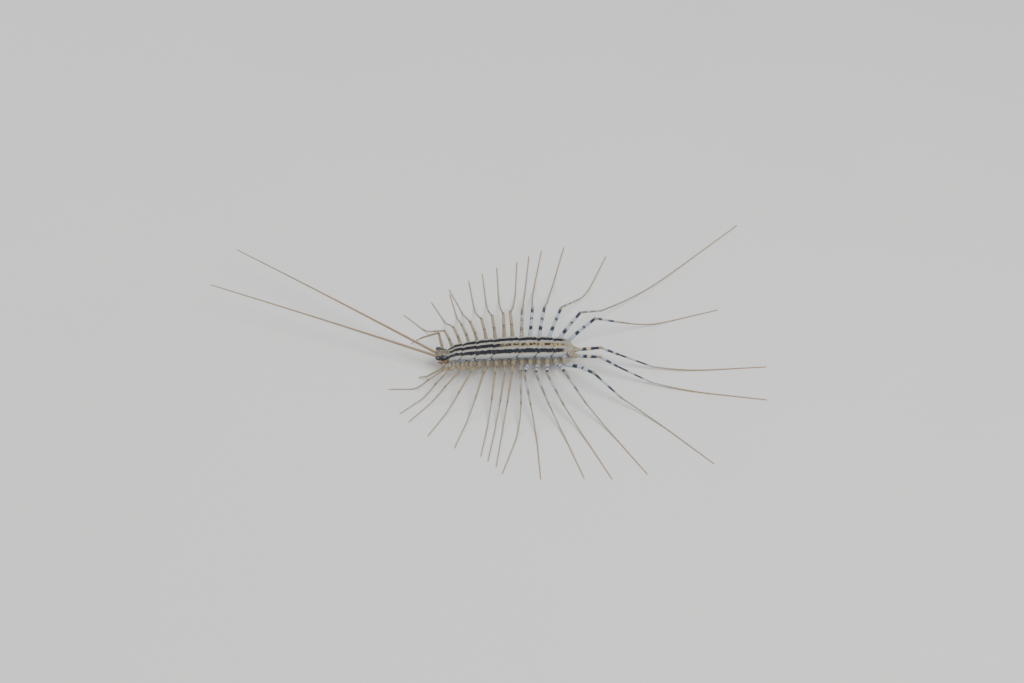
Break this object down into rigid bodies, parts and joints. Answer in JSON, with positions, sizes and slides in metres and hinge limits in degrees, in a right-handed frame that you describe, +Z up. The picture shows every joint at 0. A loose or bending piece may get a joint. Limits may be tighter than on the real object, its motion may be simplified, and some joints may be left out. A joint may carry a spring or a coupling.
{
  "type": "house centipede",
  "caption": "House centipede at life size, standing with its long banded legs spread, striped back plates and long thin feelers.",
  "frame": {"origin": "middle of the whole animal's footprint box, on the floor it stands on", "axes": "-X the way the animal faces, -Y its left side, +Z up"},
  "size_m": [0.11, 0.0658, 0.009],
  "materials": {
    "plate": "satin",
    "head": "satin",
    "soft_skin": "satin",
    "leg": "satin",
    "feeler": "matte",
    "eye": "gloss",
    "fang": "gloss"
  },
  "bodies": {
    "root": {"antenna_left": "feeler", "antenna_right": "feeler", "back_plate_1": "plate", "back_plate_2": "plate", "back_plate_3": "plate", "back_plate_4": "plate", "back_plate_5": "plate", "back_plate_6": "plate", "back_plate_7": "plate", "back_plate_8": "plate", "eye_left": "eye", "eye_right": "eye", "fang_left": "fang", "fang_right": "fang", "head": "head", "leg_left_01": "leg", "leg_left_02": "leg", "leg_left_03": "leg", "leg_left_04": "leg", "leg_left_05": "leg", "leg_left_06": "leg", "leg_left_07": "leg", "leg_left_08": "leg", "leg_left_09": "leg", "leg_left_10": "leg", "leg_left_11": "leg", "leg_left_12": "leg", "leg_left_13": "leg", "leg_left_14": "leg", "leg_left_15": "leg", "leg_right_01": "leg", "leg_right_02": "leg", "leg_right_03": "leg", "leg_right_04": "leg", "leg_right_05": "leg", "leg_right_06": "leg", "leg_right_07": "leg", "leg_right_08": "leg", "leg_right_09": "leg", "leg_right_10": "leg", "leg_right_11": "leg", "leg_right_12": "leg", "leg_right_13": "leg", "leg_right_14": "leg", "leg_right_15": "leg", "palp_left": "leg", "palp_right": "leg", "tail": "head", "trunk": "soft_skin"}
  },
  "joints": []
}
